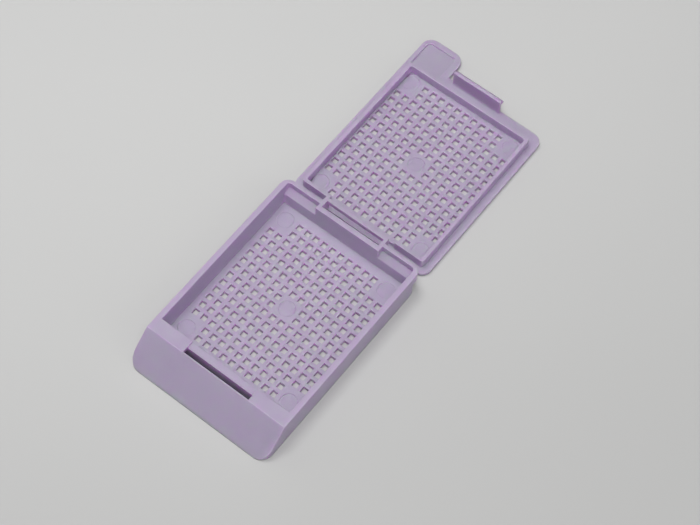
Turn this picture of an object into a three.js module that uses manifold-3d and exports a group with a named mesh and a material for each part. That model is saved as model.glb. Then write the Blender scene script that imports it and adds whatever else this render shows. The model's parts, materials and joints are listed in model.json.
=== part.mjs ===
// Tissue cassette: a shallow perforated tray with a perforated lid hinged to its rear end.
// Units are millimetres. X runs across the cassette, Y from the writing face to the hinge, Z up.
// Both pieces rest on z = 0, the lid open by half a turn and lying with its inside up.
// Inside this file y = 0 is the tray's front foot. The finished group is moved along Y, so that
// the origin lies under the solid block in the middle of the tray's floor.

import * as THREE from 'three';
import { mergeGeometries, mergeVertices } from 'three/addons/utils/BufferGeometryUtils.js';
import Module from 'manifold-3d';

// Whole cassette
const WIDTH = 28.5;
const LENGTH = 41.3; // tray, front foot to rear rim
const HEIGHT = 5.33; // tray, table to rim
const FLOOR = 0.87; // tray floor
const PLATE = 0.87; // lid plate
const CLOSING_GAP = 0.03; // between the rim and the closed lid

// Tray walls
const SIDE_WALL = 1.0; // at the rim
const WALL_DRAFT = 0.19; // extra thickness of the side walls at the floor
const FRONT_CORNER = 2.25;
const REAR_CORNER = 1.75;
const INNER_CORNER = 0.6; // where the side walls meet the rear rim
const REAR_RIM = 0.7;
const REAR_WALL = 1.06; // thickness at the floor
const REAR_DRAFT = 0.22; // lean of the lower rear wall's inner face
const SHELF_FALL = 0.48; // from the underside of the rear rim in to the wall below it
const SHELF_SKIN = 0.25; // from the underside of the rear rim up to the shelf

// Writing face, ledge and latch slot
const FRONT_LIP = 0.2; // upright edge at the foot of the writing face
const SLOPE_RUN = 5.45;
const SLOPE_SKIN = 1.0;
const LEDGE_SKIN = 1.0;
const LEDGE_DEPTH = 2.55;
const FRONT_DRAFT = 0.1;
const SLOT_SETBACK = 0.2; // from the top of the writing face
const SLOT_DEPTH = 1.05;
const SLOT_HALF_WIDTH = 6.75;
const STRIP_DROP = 0.3; // the strip behind the slot lies this much below the rim
const CATCH_DEPTH = 1.0; // rib in front of the slot that the latch hooks under
const CATCH_GAP = 0.15; // between that rib and the closed latch's barb

// Hole pattern
const HOLE = 1.04;
const PITCH = 1.758;
const HOLE_MARGIN = 1.0; // least solid floor between the holes and a wall
const DISC_RADIUS = 1.5;
const DISC_DEPTH = 0.05;
const DISC_LAND = 0.2; // solid floor kept round each disc
const DISC_INSET_X = 2.36; // corner discs, in from the side walls
const DISC_INSET_Y = 2.62; // corner discs, in from the end walls

// Hinge box on the tray
const BOX_HALF_WIDTH = 6.6;
const BOX_END = 0.7; // thickness of its end walls
const BOX_FRONT = 0.93; // thickness of its front wall at the top
const BOX_SLOT = 1.37; // gap between its front wall and the bar
const BAR_DEPTH = 0.65;
const BAR_HEIGHT = 1.06;
const EAR_WALL = 0.4; // plastic round each pin hole

// Hinge pins and arms on the lid
const AXIS_SETBACK = 0.1; // hinge axis, in from the rear rim
const PIN_RADIUS = 0.42;
const PIN_CLEARANCE = 0.08;
const PIN_END_GAP = 0.1; // left between a pin's tip and the box's inner face
const ARM_WIDTH = 1.2;
const ARM_THICKNESS = 0.56;
const ARM_GAP = 0.3; // between an arm and the box
const ARM_RIM_GAP = 0.14; // between an arm and the rear rim once the lid is closed
const ARM_WALL_GAP = 0.3; // between an arm and the tray's rear wall while the lid is open
const ARM_LIFT = 0.2; // the arms start this much above the table
const ARM_HEADROOM = 0.165; // between an arm's eye and the rear rim's underside
const EYE_MARGIN = 0.04; // how far an arm's eye stands out round the pin

// Lid plate, raised frame, latch and thumb tab
const LID_CORNER = 1.95;
const LID_GAP = 0.9; // open lid's near edge to the rear rim
const NOTCH_GAP = 0.1; // bar to the plate's notched edge in front of it
const FRAME_HEIGHT = 1.9;
const FRAME_WALL = 0.65;
const FRAME_SIDE_GAP = 0.4; // frame to tray wall at the rim
const FRAME_FRONT_GAP = 0.25; // frame to ledge once the lid is closed
const FRAME_REAR_GAP = 0.16; // frame to the tray's rear wall once the lid is closed
const SWING_GAP = 0.025; // least gap as the frame swings past the rear rim
const FRAME_CORNER = 0.5;
const FRAME_INNER_CORNER = 0.4;
const LOW_WALL_HEIGHT = 0.78; // frame's wall in front of the hinge box
const LOW_WALL_GAP = 0.11; // least gap as that wall swings past the hinge box
const LATCH_HEIGHT = 3.23;
const LATCH_SIDE_GAP = 1.75; // latch to the slot's ends
const LATCH_FRONT_GAP = 0.1; // latch to the slot's front edge once the lid is closed
const LATCH_BACK_GAP = 0.4; // latch to the slot's back edge
const LATCH_ROUND = 0.14;
const LATCH_FILLET = 0.3;
const BARB_HEIGHT = 1.1;
const BARB_FLAT = 0.35; // upright tip of the barb
const BARB_REACH = 0.65;
const TAB_LENGTH = 4.95;
const TAB_WIDTH = 8.05;
const TAB_CORNER = 2.0;
const PANEL_DEPTH = 0.3;
const PANEL_BORDER = 0.85;
const PANEL_INNER_BORDER = 1.35;
const PANEL_END_BORDER = 1.05;
const PANEL_CORNER = 0.75;

// Curves
const ARC_STEPS = 6; // lines in a quarter round
const DISC_STEPS = 32;
const PIN_STEPS = 32;
const OVERCUT = 1; // how far a cutting solid runs past the face that it opens

// Places that follow from the dimensions above
const HALF = WIDTH / 2;
const TRAY_HALF_TOP = HALF - SIDE_WALL;
const TRAY_HALF_FOOT = TRAY_HALF_TOP - WALL_DRAFT;
const LEDGE_END = SLOPE_RUN + LEDGE_DEPTH;
const FRONT_FOOT = LEDGE_END + FRONT_DRAFT;
const SLOT_START = SLOPE_RUN + SLOT_SETBACK;
const SLOT_END = SLOT_START + SLOT_DEPTH;
const AXIS_Y = LENGTH - AXIS_SETBACK;
const AXIS_Z = (HEIGHT + PLATE + CLOSING_GAP) / 2;
const ARM_INNER = AXIS_Y - AXIS_SETBACK - ARM_RIM_GAP; // the side of an arm's column near the axis
const ARM_OUTER = ARM_INNER - ARM_THICKNESS;
const REAR_FACE = ARM_OUTER - ARM_WALL_GAP;
const REAR_FOOT = REAR_FACE - REAR_WALL;
const EYE_RADIUS = PIN_RADIUS + EYE_MARGIN;
const HOLE_RADIUS = PIN_RADIUS + PIN_CLEARANCE;
const EAR_RADIUS = HOLE_RADIUS + EAR_WALL;
const RIM_FOOT = AXIS_Z + EYE_RADIUS + ARM_HEADROOM;
const SHELF_LOW = RIM_FOOT - SHELF_FALL;
const SHELF_HIGH = RIM_FOOT + SHELF_SKIN;
const PATTERN_Y = (FRONT_FOOT + REAR_FOOT) / 2;
const BOX_FACE = REAR_FOOT + REAR_DRAFT * (HEIGHT - FLOOR) / (SHELF_LOW - FLOOR);
const BOX_SLOT_START = BOX_FACE + BOX_FRONT;
const BAR_START = BOX_SLOT_START + BOX_SLOT;
const BAR_END = BAR_START + BAR_DEPTH;
const BOX_INNER = BOX_HALF_WIDTH - BOX_END;
const ARM_START = BOX_HALF_WIDTH + ARM_GAP;
const ARM_END = ARM_START + ARM_WIDTH;
const LID_START = LENGTH + LID_GAP;
const NOTCH_START = BAR_END + NOTCH_GAP;
const LID_END = opened(SLOT_START + LATCH_FRONT_GAP);
const RIM_SWING = Math.hypot(REAR_RIM - AXIS_SETBACK, HEIGHT - AXIS_Z);
const BOX_SWING = Math.hypot(AXIS_Y - BOX_FACE, HEIGHT - AXIS_Z);
const FRAME_START = AXIS_Y + Math.max(RIM_SWING + SWING_GAP, AXIS_Y - REAR_FOOT + FRAME_REAR_GAP);
const FRAME_END = opened(LEDGE_END + FRAME_FRONT_GAP);
const FRAME_HALF = TRAY_HALF_TOP - FRAME_SIDE_GAP;
const FRAME_TOP = PLATE + FRAME_HEIGHT;
const LOW_WALL_TOP = PLATE + LOW_WALL_HEIGHT;
const LOW_WALL_REACH = Math.sqrt((BOX_SWING + LOW_WALL_GAP) ** 2 - (AXIS_Z - LOW_WALL_TOP) ** 2);
const LATCH_HALF_WIDTH = SLOT_HALF_WIDTH - LATCH_SIDE_GAP;
const LATCH_THICKNESS = SLOT_DEPTH - LATCH_FRONT_GAP - LATCH_BACK_GAP;
const LATCH_TOP = PLATE + LATCH_HEIGHT;
const BARB_FOOT = LATCH_TOP - BARB_HEIGHT;
const CATCH_FOOT = 2 * AXIS_Z - BARB_FOOT + CATCH_GAP;
const TAB_END = LID_END + TAB_LENGTH;
const TAB_SIDE = TAB_WIDTH - HALF; // the tab's free edge

const wasm = await Module();
wasm.setup();

// The y on the open lid of what lies at y once the lid is closed.
function opened(y) {
  return 2 * AXIS_Y - y;
}

// ---------------------------------------------------------------- solids

function toSolid(geometry) {
  const bare = geometry.clone();
  bare.deleteAttribute('normal');
  bare.deleteAttribute('uv');
  const merged = mergeVertices(bare, 1e-5);
  return new wasm.Manifold(new wasm.Mesh({
    numProp: 3,
    vertProperties: new Float32Array(merged.attributes.position.array),
    triVerts: new Uint32Array(merged.index.array),
  }));
}

function toMesh(name, material, solid) {
  const { vertProperties, triVerts } = solid.getMesh();
  const geometry = new THREE.BufferGeometry();
  geometry.setAttribute('position', new THREE.BufferAttribute(vertProperties, 3));
  geometry.setIndex(new THREE.BufferAttribute(triVerts, 1));
  geometry.computeVertexNormals();
  const mesh = new THREE.Mesh(geometry, material);
  mesh.name = name;
  return mesh;
}

function boxGeometry([x0, x1], [y0, y1], [z0, z1]) {
  const geometry = new THREE.BoxGeometry(x1 - x0, y1 - y0, z1 - z0);
  return geometry.translate((x0 + x1) / 2, (y0 + y1) / 2, (z0 + z1) / 2);
}

function block(xs, ys, zs) {
  return toSolid(boxGeometry(xs, ys, zs));
}

function extruded(shape, depth) {
  return new THREE.ExtrudeGeometry(shape, { depth, bevelEnabled: false, curveSegments: ARC_STEPS });
}

// A plan outline, drawn in (x, y), as a solid between two heights.
function upright(shape, [z0, z1]) {
  return toSolid(extruded(shape, z1 - z0).translate(0, 0, z0));
}

// A side outline, drawn in (y, z), as a solid between two values of x.
function crosswise(shape, [x0, x1]) {
  const toYZ = new THREE.Matrix4().set(0, 0, 1, x0, 1, 0, 0, 0, 0, 1, 0, 0, 0, 0, 0, 1);
  return toSolid(extruded(shape, x1 - x0).applyMatrix4(toYZ));
}

// An end outline, drawn in (x, z), as a solid between two values of y.
function lengthwise(shape, [y0, y1]) {
  const toXZ = new THREE.Matrix4().set(1, 0, 0, 0, 0, 0, -1, y1, 0, 1, 0, 0, 0, 0, 0, 1);
  return toSolid(extruded(shape, y1 - y0).applyMatrix4(toXZ));
}

function rod(radius, steps, [x0, x1], y, z) {
  const geometry = new THREE.CylinderGeometry(radius, radius, x1 - x0, steps);
  return toSolid(geometry.rotateZ(Math.PI / 2).translate((x0 + x1) / 2, y, z));
}

function union(solids) {
  return solids.reduce((sum, solid) => sum.add(solid));
}

// The same solid on both sides of the cassette.
function onBothSides(makeSolid) {
  return union([makeSolid(1), makeSolid(-1)]);
}

function span(side, inner, outer) {
  return side > 0 ? [inner, outer] : [-outer, -inner];
}

// ---------------------------------------------------------------- outlines

// A closed outline of corners [u, v, radius], each rounded by an arc of its own radius.
function roundedOutline(corners) {
  const points = corners.map(([u, v]) => new THREE.Vector2(u, v));
  const outline = [];
  corners.forEach(([, , radius = 0], i) => {
    const corner = points[i];
    const before = points.at(i - 1).clone().sub(corner).normalize();
    const after = points[(i + 1) % points.length].clone().sub(corner).normalize();
    if (radius === 0) {
      outline.push(corner);
      return;
    }
    const halfAngle = Math.acos(before.dot(after)) / 2;
    const middle = before.clone().add(after).normalize();
    const centre = corner.clone().addScaledVector(middle, radius / Math.sin(halfAngle));
    const from = corner.clone().addScaledVector(before, radius / Math.tan(halfAngle)).sub(centre);
    const turn = (Math.PI - 2 * halfAngle) * Math.sign(after.cross(before));
    const steps = Math.ceil(Math.abs(turn) / (Math.PI / 2) * ARC_STEPS);
    for (let k = 0; k <= steps; k += 1) {
      outline.push(from.clone().rotateAround(new THREE.Vector2(), turn * k / steps).add(centre));
    }
  });
  return new THREE.Shape(outline);
}

function roundedRectangle([x0, x1], [y0, y1], radius) {
  return roundedOutline([[x0, y0, radius], [x1, y0, radius], [x1, y1, radius], [x0, y1, radius]]);
}

// ---------------------------------------------------------------- hole pattern

// Hole centres along one direction, spread evenly about the middle of the floor.
function holeCentres(clearSpan) {
  const count = Math.floor((clearSpan - 2 * HOLE_MARGIN - HOLE) / PITCH) + 1;
  return Array.from({ length: count }, (_, i) => (i - (count - 1) / 2) * PITCH);
}

function discCentres() {
  const x = TRAY_HALF_FOOT - DISC_INSET_X;
  const y = (REAR_FOOT - FRONT_FOOT) / 2 - DISC_INSET_Y;
  return [[0, 0], [x, y], [x, -y], [-x, y], [-x, -y]];
}

function nearDisc(x, y) {
  const reach = DISC_RADIUS + DISC_LAND + HOLE / 2;
  return discCentres().some(([dx, dy]) => Math.abs(x - dx) < reach && Math.abs(y - dy) < reach);
}

// Cutters for the holes and the shallow discs of a floor whose pattern is centred on middleY.
function floorCuts(middleY, top) {
  const holes = [];
  for (const x of holeCentres(2 * TRAY_HALF_FOOT)) {
    for (const y of holeCentres(REAR_FOOT - FRONT_FOOT)) {
      if (nearDisc(x, y)) continue;
      const xs = [x - HOLE / 2, x + HOLE / 2];
      const ys = [middleY + y - HOLE / 2, middleY + y + HOLE / 2];
      holes.push(boxGeometry(xs, ys, [-OVERCUT, top + OVERCUT]));
    }
  }
  const discs = discCentres().map(([x, y]) => {
    const height = DISC_DEPTH + OVERCUT;
    const disc = new THREE.CylinderGeometry(DISC_RADIUS, DISC_RADIUS, height, DISC_STEPS);
    return disc.rotateX(Math.PI / 2).translate(x, middleY + y, top - DISC_DEPTH + height / 2);
  });
  return toSolid(mergeGeometries([...holes, ...discs]));
}

// ---------------------------------------------------------------- tray

function trayBlank() {
  const side = roundedOutline([
    [0, 0], [REAR_FACE, 0], [REAR_FACE, SHELF_LOW], [LENGTH, RIM_FOOT],
    [LENGTH, HEIGHT], [SLOPE_RUN, HEIGHT], [0, FRONT_LIP],
  ]);
  const plan = roundedOutline([
    [-HALF, 0, FRONT_CORNER], [HALF, 0, FRONT_CORNER],
    [HALF, LENGTH, REAR_CORNER], [-HALF, LENGTH, REAR_CORNER],
  ]);
  const foot = roundedOutline([
    [-HALF, 0], [HALF, 0], [HALF, REAR_FACE, REAR_CORNER], [-HALF, REAR_FACE, REAR_CORNER],
  ]);
  const rim = block([-HALF, HALF], [0, LENGTH], [SHELF_LOW, HEIGHT]);
  const outside = upright(foot, [0, SHELF_LOW]).add(rim);
  return crosswise(side, [-HALF, HALF]).intersect(upright(plan, [0, HEIGHT])).intersect(outside);
}

function trayInside() {
  const open = HEIGHT + OVERCUT;
  const side = roundedOutline([
    [FRONT_FOOT, FLOOR], [REAR_FOOT, FLOOR], [REAR_FOOT + REAR_DRAFT, SHELF_LOW],
    [LENGTH - REAR_RIM, SHELF_HIGH], [LENGTH - REAR_RIM, open], [LEDGE_END, open],
    [LEDGE_END, HEIGHT],
  ]);
  const end = roundedOutline([
    [-TRAY_HALF_FOOT, FLOOR], [TRAY_HALF_FOOT, FLOOR], [TRAY_HALF_TOP, HEIGHT],
    [TRAY_HALF_TOP, open], [-TRAY_HALF_TOP, open], [-TRAY_HALF_TOP, HEIGHT],
  ]);
  const xs = [-TRAY_HALF_TOP, TRAY_HALF_TOP];
  const rear = LENGTH - REAR_RIM;
  const plan = roundedOutline([
    [-TRAY_HALF_TOP, LEDGE_END], [TRAY_HALF_TOP, LEDGE_END],
    [TRAY_HALF_TOP, rear, INNER_CORNER], [-TRAY_HALF_TOP, rear, INNER_CORNER],
  ]);
  const tapered = crosswise(side, xs).intersect(lengthwise(end, [0, LENGTH]));
  return tapered.intersect(upright(plan, [FLOOR, open]));
}

// The hollow under the writing face, open below.
function frontHollow() {
  const rise = HEIGHT - FRONT_LIP;
  const slant = Math.hypot(SLOPE_RUN, rise);
  const underslope = (z) => (z - FRONT_LIP) * SLOPE_RUN / rise + SLOPE_SKIN * slant / rise;
  const top = HEIGHT - LEDGE_SKIN;
  const hollow = roundedOutline([
    [underslope(0), 0], [underslope(-OVERCUT), -OVERCUT], [SLOT_END, -OVERCUT],
    [SLOT_END, top], [underslope(top), top],
  ]);
  return crosswise(hollow, [-TRAY_HALF_TOP, TRAY_HALF_TOP]);
}

// The rib in front of the slot that the latch's barb hooks under.
function catchRib() {
  const xs = [-SLOT_HALF_WIDTH, SLOT_HALF_WIDTH];
  const rib = block(xs, [SLOT_START - CATCH_DEPTH, SLOT_START], [CATCH_FOOT, HEIGHT]);
  return rib.intersect(trayBlank());
}

function latchSlot() {
  const xs = [-SLOT_HALF_WIDTH, SLOT_HALF_WIDTH];
  const slot = block(xs, [SLOT_START, SLOT_END], [FLOOR, HEIGHT + OVERCUT]);
  const strip = block(xs, [SLOT_END, FRONT_FOOT], [HEIGHT - STRIP_DROP, HEIGHT + OVERCUT]);
  return slot.add(strip);
}

function hingeBoxWall() {
  const wall = roundedOutline([
    [REAR_FOOT, FLOOR / 2], [REAR_FOOT, FLOOR], [BOX_FACE, HEIGHT],
    [BOX_SLOT_START, HEIGHT], [BOX_SLOT_START, SHELF_LOW], [REAR_FACE, SHELF_LOW],
    [REAR_FACE, FLOOR / 2],
  ]);
  return crosswise(wall, [-BOX_HALF_WIDTH, BOX_HALF_WIDTH]);
}

function hingeBar() {
  return block([-BOX_HALF_WIDTH, BOX_HALF_WIDTH], [BAR_START, BAR_END], [HEIGHT - BAR_HEIGHT, HEIGHT]);
}

// An end wall of the hinge box, with the ear that carries a hinge pin below it.
function hingeBoxEnd(side) {
  const xs = span(side, BOX_INNER, BOX_HALF_WIDTH);
  const wall = roundedOutline([
    [BOX_SLOT_START - OVERCUT / 2, AXIS_Z], [BAR_END, AXIS_Z, EAR_WALL], [BAR_END, HEIGHT],
    [BOX_SLOT_START - OVERCUT / 2, HEIGHT],
  ]);
  const ear = rod(EAR_RADIUS, PIN_STEPS, xs, AXIS_Y, AXIS_Z);
  const web = block(xs, [REAR_FACE - REAR_WALL / 2, AXIS_Y], [AXIS_Z - EAR_RADIUS, AXIS_Z]);
  return union([crosswise(wall, xs), ear, web]);
}

function hingeHole(side) {
  const xs = span(side, BOX_INNER - OVERCUT, BOX_HALF_WIDTH + ARM_GAP / 2);
  return rod(HOLE_RADIUS, PIN_STEPS, xs, AXIS_Y, AXIS_Z);
}

function makeTray() {
  const openZs = [-OVERCUT, HEIGHT + OVERCUT];
  const opening = block([-BOX_INNER, BOX_INNER], [BOX_SLOT_START, BAR_START], openZs);
  const shell = trayBlank().subtract(trayInside()).subtract(frontHollow()).add(catchRib());
  const withBox = union([shell.subtract(latchSlot()), hingeBoxWall()]).subtract(opening);
  const hinged = union([withBox, hingeBar(), onBothSides(hingeBoxEnd)]);
  return hinged.subtract(onBothSides(hingeHole)).subtract(floorCuts(PATTERN_Y, FLOOR));
}

// ---------------------------------------------------------------- lid

function lidPlate() {
  const outline = roundedOutline([
    [-HALF, LID_START, LID_CORNER], [-ARM_START, LID_START], [-ARM_START, NOTCH_START],
    [ARM_START, NOTCH_START], [ARM_START, LID_START], [HALF, LID_START, LID_CORNER],
    [HALF, LID_END, LID_CORNER], [TAB_SIDE, LID_END], [TAB_SIDE, TAB_END, TAB_CORNER],
    [-HALF, TAB_END, TAB_CORNER],
  ]);
  return upright(outline, [0, PLATE]);
}

// The sunken panel on the thumb tab.
function tabPanel() {
  const panel = roundedOutline([
    [PANEL_BORDER - HALF, FRAME_END - PANEL_CORNER, 0],
    [TAB_SIDE - PANEL_INNER_BORDER, FRAME_END - PANEL_CORNER, 0],
    [TAB_SIDE - PANEL_INNER_BORDER, TAB_END - PANEL_END_BORDER, PANEL_CORNER],
    [PANEL_BORDER - HALF, TAB_END - PANEL_END_BORDER, PANEL_CORNER],
  ]);
  const frame = block([-FRAME_HALF, FRAME_HALF], [FRAME_START, FRAME_END], [0, FRAME_TOP]);
  return upright(panel, [PLATE - PANEL_DEPTH, FRAME_TOP]).subtract(frame);
}

// The raised frame that drops into the tray, low where it passes the hinge box.
function lidFrame() {
  const outer = roundedRectangle([-FRAME_HALF, FRAME_HALF], [FRAME_START, FRAME_END], FRAME_CORNER);
  const innerHalf = FRAME_HALF - FRAME_WALL;
  const innerYs = [FRAME_START + FRAME_WALL, FRAME_END - FRAME_WALL];
  const inner = roundedRectangle([-innerHalf, innerHalf], innerYs, FRAME_INNER_CORNER);
  const inside = upright(inner, [PLATE / 2, FRAME_TOP + OVERCUT]);
  const gap = block([-ARM_START, ARM_START], [FRAME_START, innerYs[0]], [0, FRAME_TOP + OVERCUT]);
  const walls = upright(outer, [PLATE / 2, FRAME_TOP]).subtract(inside).subtract(gap);
  const lowHalf = ARM_START + FRAME_WALL / 2;
  const lowStart = AXIS_Y + LOW_WALL_REACH;
  const lowYs = [lowStart, lowStart + FRAME_WALL];
  return walls.add(block([-lowHalf, lowHalf], lowYs, [PLATE / 2, LOW_WALL_TOP]));
}

function latch() {
  const front = LID_END - LATCH_THICKNESS;
  const back = LID_END;
  const profile = roundedOutline([
    [front - LATCH_FILLET, PLATE / 2], [back, PLATE / 2], [back, BARB_FOOT],
    [back + BARB_REACH, BARB_FOOT], [back + BARB_REACH, BARB_FOOT + BARB_FLAT],
    [back, LATCH_TOP, BARB_FLAT], [front, LATCH_TOP, LATCH_ROUND],
    [front, PLATE, LATCH_FILLET], [front - LATCH_FILLET * 2, PLATE],
  ]);
  return crosswise(profile, [-LATCH_HALF_WIDTH, LATCH_HALF_WIDTH]);
}

// A bent arm that runs under the tray's rear rim and carries a hinge pin at the axis.
function hingeArm(side) {
  const xs = span(side, ARM_START, ARM_END);
  const foot = block(xs, [ARM_OUTER, LID_START + ARM_THICKNESS], [ARM_LIFT, PLATE]);
  const column = block(xs, [ARM_OUTER, ARM_INNER], [ARM_LIFT, AXIS_Z]);
  const eye = rod(EYE_RADIUS, PIN_STEPS, xs, AXIS_Y, AXIS_Z);
  const pinXs = span(side, BOX_INNER + PIN_END_GAP, ARM_END);
  const pin = rod(PIN_RADIUS, PIN_STEPS, pinXs, AXIS_Y, AXIS_Z);
  return union([foot, column, eye, pin]);
}

function makeLid() {
  const middle = opened(PATTERN_Y);
  const plate = lidPlate().subtract(floorCuts(middle, PLATE)).subtract(tabPanel());
  return union([plate, lidFrame(), latch(), onBothSides(hingeArm)]);
}

// ---------------------------------------------------------------- cassette

const lilacTray = new THREE.MeshStandardMaterial({ color: 0xb9aecb, roughness: 0.5, metalness: 0 });
const lilacLid = new THREE.MeshStandardMaterial({ color: 0xb9aecb, roughness: 0.5, metalness: 0 });

const cassette = new THREE.Group();
cassette.add(toMesh('tray', lilacTray, makeTray()));
cassette.add(toMesh('lid', lilacLid, makeLid()));
cassette.position.y = -PATTERN_Y;

export default cassette;
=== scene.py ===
import json
import math

import bmesh
import bpy
from mathutils import Matrix, Vector


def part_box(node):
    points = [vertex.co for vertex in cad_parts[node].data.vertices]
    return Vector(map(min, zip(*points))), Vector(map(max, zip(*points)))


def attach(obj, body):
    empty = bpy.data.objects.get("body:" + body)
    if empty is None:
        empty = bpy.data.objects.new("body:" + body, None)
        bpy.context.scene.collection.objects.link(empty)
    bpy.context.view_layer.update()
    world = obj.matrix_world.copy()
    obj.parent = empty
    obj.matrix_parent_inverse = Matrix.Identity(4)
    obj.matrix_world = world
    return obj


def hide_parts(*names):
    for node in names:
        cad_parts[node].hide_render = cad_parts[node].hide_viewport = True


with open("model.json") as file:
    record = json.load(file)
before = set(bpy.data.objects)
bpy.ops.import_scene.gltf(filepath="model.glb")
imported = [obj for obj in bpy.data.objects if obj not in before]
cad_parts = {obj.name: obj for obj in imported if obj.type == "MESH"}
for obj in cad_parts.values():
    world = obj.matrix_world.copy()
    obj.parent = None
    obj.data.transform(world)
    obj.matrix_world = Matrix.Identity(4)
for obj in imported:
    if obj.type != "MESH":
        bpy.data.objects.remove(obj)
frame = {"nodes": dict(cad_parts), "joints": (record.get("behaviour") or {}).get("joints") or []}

# A tissue cassette lying open: a tray and its lid, each moulded in one matt lilac plastic.
# Every length is in metres.

MM = 0.001

# Reading the CAD meshes
WELD = 0.002 * MM                 # corners closer than this are one corner
FLAT_ANGLE = math.radians(0.5)    # faces that meet more gently than this are one flat face
CUT_TOLERANCE = 0.0001 * MM
SQUARE_ON = 0.99                  # a normal's share along an axis, if its face is square to it
HOLE_PITCH = 1.758 * MM
HOLE_COLUMNS = 14

# The faint round ejector marks in the floor and the lid, and the groove along their edge
DISC_SIDES = 24                   # their outline has more sides than this
DISC_AREA = (6.5 * MM * MM, 7.5 * MM * MM)
DISC_GROOVE_WIDTH = 0.12 * MM
DISC_GROOVE_DEPTH = 0.05 * MM

# Rounding and shading of the moulded edges
EDGE_ROUND = 0.08 * MM            # how far a rounded edge reaches into each face
EDGE_STEPS = 2
EDGE_PROFILE = 0.5                # part of a circle
EDGE_ANGLE = math.radians(35)     # faces that meet more sharply than this have an edge
SMOOTH_ANGLE = math.radians(32)   # faces that meet more gently than this shade as one
FLAT_FACE_WEIGHT = 100            # large flat faces decide how their rounded edges shade

# Edges that stay sharp
HINGE_HALF_WIDTH = 8.2 * MM       # the ears, eyes and pins lie inside this
HINGE_KEEP = 0.95 * MM            # and within this distance of the axis their edges stay sharp
HINGE_REACH = 3 * MM              # their faces lie this close to the axis
LATCH_SIDE = 5 * MM               # half the latch's width
LATCH_ROOT_HEIGHT = 1.25 * MM
LATCH_ROOT_FROM_END = 4.8 * MM    # the latch's root ends this far from the end of the lid's tab
SIDE_TOLERANCE = 0.1 * MM

# The plastic
PLASTIC = (0.438, 0.379, 0.513)
PLASTIC_DEEP = (0.420, 0.358, 0.496)
PLASTIC_PAINTED_BOUNCE_LIGHT = (0.620, 0.415, 0.690)    # painted light: a brighter, deeper lilac on walls in narrow places, for light that passes through the thin plastic and bounces between them
BOUNCE_LIGHT_REACH = 1.6 * MM           # how far off another wall still counts as close
BOUNCE_LIGHT_SAMPLES = 8
PLASTIC_ROUGHNESS = 0.54
ROUGHNESS_SPREAD = 0.05           # how much rougher or smoother the grain makes it
PLASTIC_IOR = 1.48
SCATTER_WEIGHT = 1.0
SCATTER_LENGTH = 2.0 * MM
SCATTER_COLOURS = (1.1, 0.5, 1.1)         # green light goes in less far than red and blue
GRAIN_SIZE = 0.16 * MM
GRAIN_DEPTH = 0.005 * MM
GRAIN_HARSHNESS = 0.6
FLOW_SIZE = 5 * MM
FLOW_DEPTH = 0.012 * MM
FINE_DETAIL = 3.0                 # octaves of noise in the grain and the flow marks
NOISE_LOW = 0.3                   # nearly all of a noise lies between these two
NOISE_HIGH = 0.7

# The table
TABLE = (0.590, 0.590, 0.585)
TABLE_ROUGHNESS = 0.7
TABLE_PATCHES = 60 * MM           # size of its barely visible patches
TABLE_PATCH_TONE = 0.985
TABLE_PAINTED_SHADE = 0.835                 # painted shade: the table's tone at the right and the front
TABLE_PAINTED_SHADE_WAY = (0.8, -0.6, 0)    # the direction in which it gets there
TABLE_PAINTED_SHADE_START = -50 * MM
TABLE_PAINTED_SHADE_FULL = 65 * MM
TABLE_SIZE = 3.0
TABLE_GAP = 0.02 * MM
BACKDROP = (0.575, 0.575, 0.57)
BACKDROP_START = 0.12             # how far off the table starts to fade into the backdrop
BACKDROP_FULL = 0.40

# The light
WORLD_LIGHT = 0.03
LAMP_AIM = Vector((0, 32, 0)) * MM
LAMPS = (
    # name, azimuth and elevation in degrees, distance, size, power in watts
    ("overhead softbox", -100, 76, 0.40, 0.14, 0.60),
    ("low softbox", 30, 30, 0.50, 0.35, 0.24),
    ("front softbox", 38, 70, 0.80, 0.35, 3.24),
    ("right softbox", 90, 32, 0.50, 0.35, 0.37),
    ("left softbox", -90, 35, 0.30, 0.35, 0.20),
)

# The camera
CAMERA_AIM = Vector((2.55, 13.62, 0)) * MM
CAMERA_DISTANCE = 317.24 * MM
CAMERA_AZIMUTH = math.radians(36.570)     # round from -Y towards +X
CAMERA_ELEVATION = math.radians(62.057)
CAMERA_ROLL = math.radians(1.63)
CAMERA_LENS = 97.53                       # in the camera's own millimetres, as is the sensor
CAMERA_SENSOR = 36
CAMERA_NEAR = 0.01


def join_flat_faces(bm):
    """Joins the faces that lie in one plane, up to the edges marked as seams."""
    bmesh.ops.dissolve_limit(
        bm, angle_limit=FLAT_ANGLE, use_dissolve_boundaries=False,
        verts=bm.verts, edges=bm.edges, delimit={"SEAM"})
    bm.normal_update()


def read_mesh(node):
    """A welded copy of a CAD node's mesh, with each flat face in one piece."""
    bm = bmesh.new()
    bm.from_mesh(node.data)
    bmesh.ops.remove_doubles(bm, verts=bm.verts, dist=WELD)
    join_flat_faces(bm)
    return bm


def is_disc(face):
    """Whether a face is the sunken floor of a round ejector mark."""
    least, most = DISC_AREA
    return (face.normal.z > SQUARE_ON and len(face.verts) > DISC_SIDES
            and least < face.calc_area() < most)


def groove_discs(bm):
    """Presses a fine groove along the edge of each round ejector mark."""
    for disc in [face for face in bm.faces if is_disc(face)]:
        rim = list(disc.verts)
        bmesh.ops.inset_individual(bm, faces=[disc], thickness=DISC_GROOVE_WIDTH)
        for vert in rim:
            vert.co.z -= DISC_GROOVE_DEPTH
    bm.normal_update()


def cut(bm, faces, point, normal):
    """Cuts faces along a plane, and marks the new edges as seams."""
    geometry = {part for face in faces for part in (face, *face.edges, *face.verts)}
    result = bmesh.ops.bisect_plane(
        bm, geom=list(geometry), dist=CUT_TOLERANCE, plane_co=point, plane_no=normal)
    for part in result["geom_cut"]:
        if isinstance(part, bmesh.types.BMEdge):
            part.seam = True


def is_hinge_face(face, axis):
    """Whether a face belongs to the ears, eyes or pins."""
    return all(abs(vert.co.x) < HINGE_HALF_WIDTH and abs(vert.co.y - axis.y) < HINGE_REACH
               for vert in face.verts)


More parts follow.
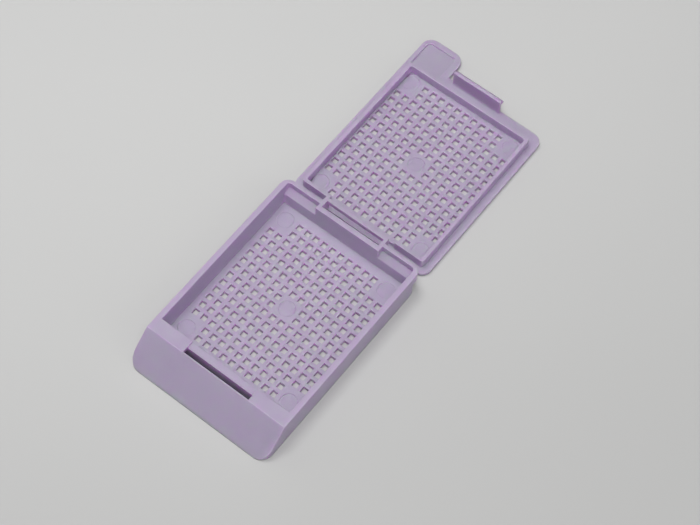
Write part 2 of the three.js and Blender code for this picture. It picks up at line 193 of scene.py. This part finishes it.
def cut_through_openings(bm, axis):
    """Cuts the faces that go round a hole, so that none of them closes on itself."""
    for column in range(HOLE_COLUMNS):
        middle = (column - (HOLE_COLUMNS - 1) / 2) * HOLE_PITCH
        cut(bm, bm.faces, (middle, 0, 0), (1, 0, 0))
    ends = [face for face in bm.faces
            if abs(face.normal.x) > SQUARE_ON and is_hinge_face(face, axis)]
    cut(bm, ends, axis, (0, 1, 0))
    join_flat_faces(bm)


def is_hinge_edge(edge, axis):
    """Whether an edge is part of the hinge's own fits."""
    return all(abs(vert.co.x) < HINGE_HALF_WIDTH
               and math.hypot(vert.co.y - axis.y, vert.co.z - axis.z) < HINGE_KEEP
               for vert in edge.verts)


def is_latch_root(edge, end):
    """Whether an edge closes the side of the fillet under the latch."""
    return all(abs(abs(vert.co.x) - LATCH_SIDE) < SIDE_TOLERANCE
               and vert.co.y < end and vert.co.z < LATCH_ROOT_HEIGHT
               for vert in edge.verts)


def is_rounded(edge, axis, latch_end):
    """Whether an edge is rounded: a sharp outer edge with room for it on both sides."""
    if len(edge.link_faces) != 2 or not edge.is_convex:
        return False
    if edge.calc_face_angle() < EDGE_ANGLE:
        return False
    if is_hinge_edge(edge, axis) or is_latch_root(edge, latch_end):
        return False
    room = min(face.calc_area() for face in edge.link_faces) / edge.calc_length()
    return room > EDGE_ROUND


def round_edges(bm, axis, latch_end):
    """Rounds the outer edges, as a mould leaves them."""
    edges = [edge for edge in bm.edges if is_rounded(edge, axis, latch_end)]
    bmesh.ops.bevel(
        bm, geom=edges, offset=EDGE_ROUND, offset_type="OFFSET", segments=EDGE_STEPS,
        profile=EDGE_PROFILE, affect="EDGES", clamp_overlap=False, loop_slide=True)
    bm.normal_update()


def shade_smooth(bm):
    """Shades the faces that meet gently as one surface, and creases the other edges."""
    for face in bm.faces:
        face.smooth = True
    for edge in bm.edges:
        edge.seam = False
        edge.smooth = edge.calc_face_angle() < SMOOTH_ANGLE


def moulding(name, node, body, material, axis, latch_end):
    """Adds a moulded piece with rounded edges, which stands for its CAD node."""
    bm = read_mesh(frame["nodes"][node])
    groove_discs(bm)
    cut_through_openings(bm, axis)
    round_edges(bm, axis, latch_end)
    shade_smooth(bm)
    mesh = bpy.data.meshes.new(name)
    bm.to_mesh(mesh)
    bm.free()
    mesh.materials.append(material)
    piece = bpy.data.objects.new(name, mesh)
    bpy.context.scene.collection.objects.link(piece)
    flat = piece.modifiers.new("flat faces", "WEIGHTED_NORMAL")
    flat.keep_sharp = True
    flat.weight = FLAT_FACE_WEIGHT
    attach(piece, body)
    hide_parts(node)


def node_of(tree, kind, **values):
    """A shader node with its inputs set by name."""
    made = tree.nodes.new(kind)
    for key, value in values.items():
        made.inputs[key].default_value = value
    return made


def new_material(name):
    """An empty node material, and its tree and output."""
    material = bpy.data.materials.new(name)
    material.use_nodes = True
    tree = material.node_tree
    tree.nodes.clear()
    return material, tree, tree.nodes.new("ShaderNodeOutputMaterial")


def noise(tree, size, detail=2.0, roughness=0.5):
    """Noise in the object's own space, with features about this size."""
    place = tree.nodes.new("ShaderNodeTexCoord")
    made = node_of(tree, "ShaderNodeTexNoise", Scale=1 / size, Detail=detail, Roughness=roughness)
    tree.links.new(place.outputs["Object"], made.inputs["Vector"])
    return made.outputs["Fac"]


def bump(tree, height, depth, below=None):
    """Turns a height from 0 to 1 into a bump of this real depth."""
    made = node_of(tree, "ShaderNodeBump", Strength=1.0, Distance=depth)
    tree.links.new(height, made.inputs["Height"])
    if below is not None:
        tree.links.new(below, made.inputs["Normal"])
    return made.outputs["Normal"]


def ranged(tree, value, start, full, low, high, kind="LINEAR"):
    """Goes from low to high while a value goes from start to full, and no further."""
    made = node_of(tree, "ShaderNodeMapRange",
                   **{"From Min": start, "From Max": full, "To Min": low, "To Max": high})
    made.interpolation_type = kind
    tree.links.new(value, made.inputs["Value"])
    return made.outputs["Result"]


def scaled(tree, value, low, high):
    """Goes from low to high over the middle part of 0 to 1, where a noise lies."""
    return ranged(tree, value, NOISE_LOW, NOISE_HIGH, low, high)


def rising(tree, value, start, full, low=0, high=1):
    """Goes softly from low to high while a value goes from start to full."""
    return ranged(tree, value, start, full, low, high, "SMOOTHSTEP")


def maths(tree, operation, first, second=None):
    """One sum on one or two values."""
    made = tree.nodes.new("ShaderNodeMath")
    made.operation = operation
    tree.links.new(first, made.inputs[0])
    if second is not None:
        tree.links.new(second, made.inputs[1])
    return made.outputs["Value"]


def painted_bounce_light_mask(tree):
    """Where the painted bounce light goes: 1 on walls that stand close together, as round the
    small holes, and 0 in the open.
    """
    nearby = node_of(tree, "ShaderNodeAmbientOcclusion", Distance=BOUNCE_LIGHT_REACH)
    nearby.only_local = True
    nearby.samples = BOUNCE_LIGHT_SAMPLES
    narrow = scaled(tree, nearby.outputs["AO"], 1, 0)
    place = tree.nodes.new("ShaderNodeTexCoord")
    facing = tree.nodes.new("ShaderNodeSeparateXYZ")
    tree.links.new(place.outputs["Normal"], facing.inputs["Vector"])
    upright = scaled(tree, maths(tree, "ABSOLUTE", facing.outputs["Z"]), 1, 0)
    return maths(tree, "MULTIPLY", narrow, upright)


def mixed(tree, amount, low, high):
    """A colour between two, each given as three numbers or as another node's colour."""
    made = tree.nodes.new("ShaderNodeMix")
    made.data_type = "RGBA"
    for name, colour in (("A", low), ("B", high)):
        if isinstance(colour, tuple):
            made.inputs[name].default_value = (*colour, 1)
        else:
            tree.links.new(colour, made.inputs[name])
    tree.links.new(amount, made.inputs["Factor"])
    return made.outputs["Result"]


def plastic(name):
    """Matt acetal: a fine eroded grain, faint flow marks, light that goes in a little way, and
    painted bounce light on walls that stand close together.
    """
    material, tree, output = new_material(name)
    flow = noise(tree, FLOW_SIZE, FINE_DETAIL)
    grain = noise(tree, GRAIN_SIZE, FINE_DETAIL, GRAIN_HARSHNESS)
    shader = node_of(
        tree, "ShaderNodeBsdfPrincipled",
        **{"Subsurface Weight": SCATTER_WEIGHT, "Subsurface Scale": SCATTER_LENGTH,
           "Subsurface Radius": SCATTER_COLOURS, "IOR": PLASTIC_IOR})
    tint = mixed(tree, scaled(tree, flow, 0, 1), PLASTIC_DEEP, PLASTIC)
    # painted light: walls in narrow places get a brighter, deeper lilac, for light bounced
    # between them and passed through the thin plastic
    tint = mixed(tree, painted_bounce_light_mask(tree), tint, PLASTIC_PAINTED_BOUNCE_LIGHT)
    tree.links.new(tint, shader.inputs["Base Color"])
    rough = scaled(
        tree, grain, PLASTIC_ROUGHNESS - ROUGHNESS_SPREAD, PLASTIC_ROUGHNESS + ROUGHNESS_SPREAD)
    tree.links.new(rough, shader.inputs["Roughness"])
    surface = bump(tree, grain, GRAIN_DEPTH, bump(tree, flow, FLOW_DEPTH))
    tree.links.new(surface, shader.inputs["Normal"])
    tree.links.new(shader.outputs["BSDF"], output.inputs["Surface"])
    return material


def seen_directly(tree):
    """1 for rays from the camera, also through glass, and 0 for light."""
    path = tree.nodes.new("ShaderNodeLightPath")
    return maths(
        tree, "MAXIMUM", path.outputs["Is Camera Ray"], path.outputs["Is Transmission Ray"])


def between(tree, amount, first, second):
    """One shader fading into another."""
    made = tree.nodes.new("ShaderNodeMixShader")
    tree.links.new(amount, made.inputs["Fac"])
    tree.links.new(first, made.inputs[1])
    tree.links.new(second, made.inputs[2])
    return made.outputs["Shader"]


def place_sum(tree, operation, other=None):
    """One value worked out from the place on the surface, and from another vector if given."""
    place = tree.nodes.new("ShaderNodeTexCoord")
    made = tree.nodes.new("ShaderNodeVectorMath")
    made.operation = operation
    if other is not None:
        made.inputs[1].default_value = other
    tree.links.new(place.outputs["Object"], made.inputs[0])
    return made.outputs["Value"]


def far_off(tree):
    """0 near the cassette, rising to 1 where the lamps no longer reach the table."""
    return rising(tree, place_sum(tree, "LENGTH"), BACKDROP_START, BACKDROP_FULL)


def painted_table_shade(tree):
    """Painted shade on the table: its tone falls a little towards the right and the front."""
    along = place_sum(tree, "DOT_PRODUCT", TABLE_PAINTED_SHADE_WAY)
    return rising(tree, along, TABLE_PAINTED_SHADE_START, TABLE_PAINTED_SHADE_FULL, 1, TABLE_PAINTED_SHADE)


def table_finish():
    """A plain pale table top with a soft change of tone and painted shade towards the right and
    the front, which fades into the backdrop.
    """
    material, tree, output = new_material("table finish")
    shader = node_of(tree, "ShaderNodeBsdfPrincipled", Roughness=TABLE_ROUGHNESS)
    patch_tone_and_painted_shade = scaled(tree, noise(tree, TABLE_PATCHES), TABLE_PATCH_TONE, 1.0)
    # painted shade: the table darkens towards the right and the front
    patch_tone_and_painted_shade = maths(tree, "MULTIPLY", patch_tone_and_painted_shade, painted_table_shade(tree))
    tint = tree.nodes.new("ShaderNodeVectorMath")
    tint.operation = "SCALE"
    tint.inputs[0].default_value = TABLE
    tree.links.new(patch_tone_and_painted_shade, tint.inputs["Scale"])
    tree.links.new(tint.outputs["Vector"], shader.inputs["Base Color"])
    backdrop = node_of(tree, "ShaderNodeEmission", Color=(*BACKDROP, 1), Strength=1.0)
    far = maths(tree, "MULTIPLY", far_off(tree), seen_directly(tree))
    finish = between(tree, far, shader.outputs["BSDF"], backdrop.outputs["Emission"])
    tree.links.new(finish, output.inputs["Surface"])
    return material


def add_table(underside):
    """The plain floor, just under the cassette."""
    half = TABLE_SIZE / 2
    mesh = bpy.data.meshes.new("table")
    outline = [(-half, -half, 0), (half, -half, 0), (half, half, 0), (-half, half, 0)]
    mesh.from_pydata(outline, [], [(0, 1, 2, 3)])
    mesh.materials.append(table_finish())
    table = bpy.data.objects.new("table", mesh)
    table.location.z = underside - TABLE_GAP
    bpy.context.scene.collection.objects.link(table)


def direction(azimuth, elevation):
    """The direction from the cassette to a place round it. Azimuth turns from -Y towards +X."""
    level = math.cos(elevation)
    return Vector((level * math.sin(azimuth), -level * math.cos(azimuth), math.sin(elevation)))


def add_lamp(name, azimuth, elevation, distance, size, power):
    """A square soft lamp that faces the cassette."""
    data = bpy.data.lights.new(name, "AREA")
    data.shape = "SQUARE"
    data.size = size
    data.energy = power
    lamp = bpy.data.objects.new(name, data)
    way = direction(math.radians(azimuth), math.radians(elevation))
    lamp.location = LAMP_AIM + way * distance
    lamp.rotation_euler = (-way).to_track_quat("-Z", "Y").to_euler()
    bpy.context.scene.collection.objects.link(lamp)


def add_world(light, seen):
    """Even light from all round. What the camera sees of it is the backdrop's pale grey."""
    world = bpy.data.worlds.new("studio")
    bpy.context.scene.world = world
    world.use_nodes = True
    tree = world.node_tree
    tree.nodes.clear()
    output = tree.nodes.new("ShaderNodeOutputWorld")
    lit = node_of(tree, "ShaderNodeBackground", Color=(1, 1, 1, 1), Strength=light)
    shown = node_of(tree, "ShaderNodeBackground", Color=(*seen, 1), Strength=1.0)
    mix = between(
        tree, seen_directly(tree), lit.outputs["Background"], shown.outputs["Background"])
    tree.links.new(mix, output.inputs["Surface"])


def add_camera():
    """The photograph's view: from in front and to the right, looking steeply down."""
    data = bpy.data.cameras.new("camera")
    data.lens = CAMERA_LENS
    data.sensor_width = CAMERA_SENSOR
    data.clip_start = CAMERA_NEAR
    camera = bpy.data.objects.new("camera", data)
    offset = direction(CAMERA_AZIMUTH, CAMERA_ELEVATION)
    camera.location = CAMERA_AIM + offset * CAMERA_DISTANCE
    turn = (-offset).to_track_quat("-Z", "Y").to_matrix() @ Matrix.Rotation(CAMERA_ROLL, 3, "Z")
    camera.rotation_euler = turn.to_euler()
    bpy.context.scene.collection.objects.link(camera)
    bpy.context.scene.camera = camera


def main():
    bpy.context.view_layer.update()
    axis = Vector(frame["joints"][0]["pos_m"])
    latch_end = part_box("lid")[1].y - LATCH_ROOT_FROM_END
    moulding(
        "tray_moulding", "tray", "tray", plastic("tray plastic"), axis, latch_end)
    moulding(
        "lid_moulding", "lid", "lid", plastic("lid plastic"), axis, latch_end)
    add_table(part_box("tray")[0].z)
    add_camera()
    add_world(WORLD_LIGHT, BACKDROP)
    for lamp in LAMPS:
        add_lamp(*lamp)
    bpy.context.scene.view_settings.view_transform = "Standard"


main()
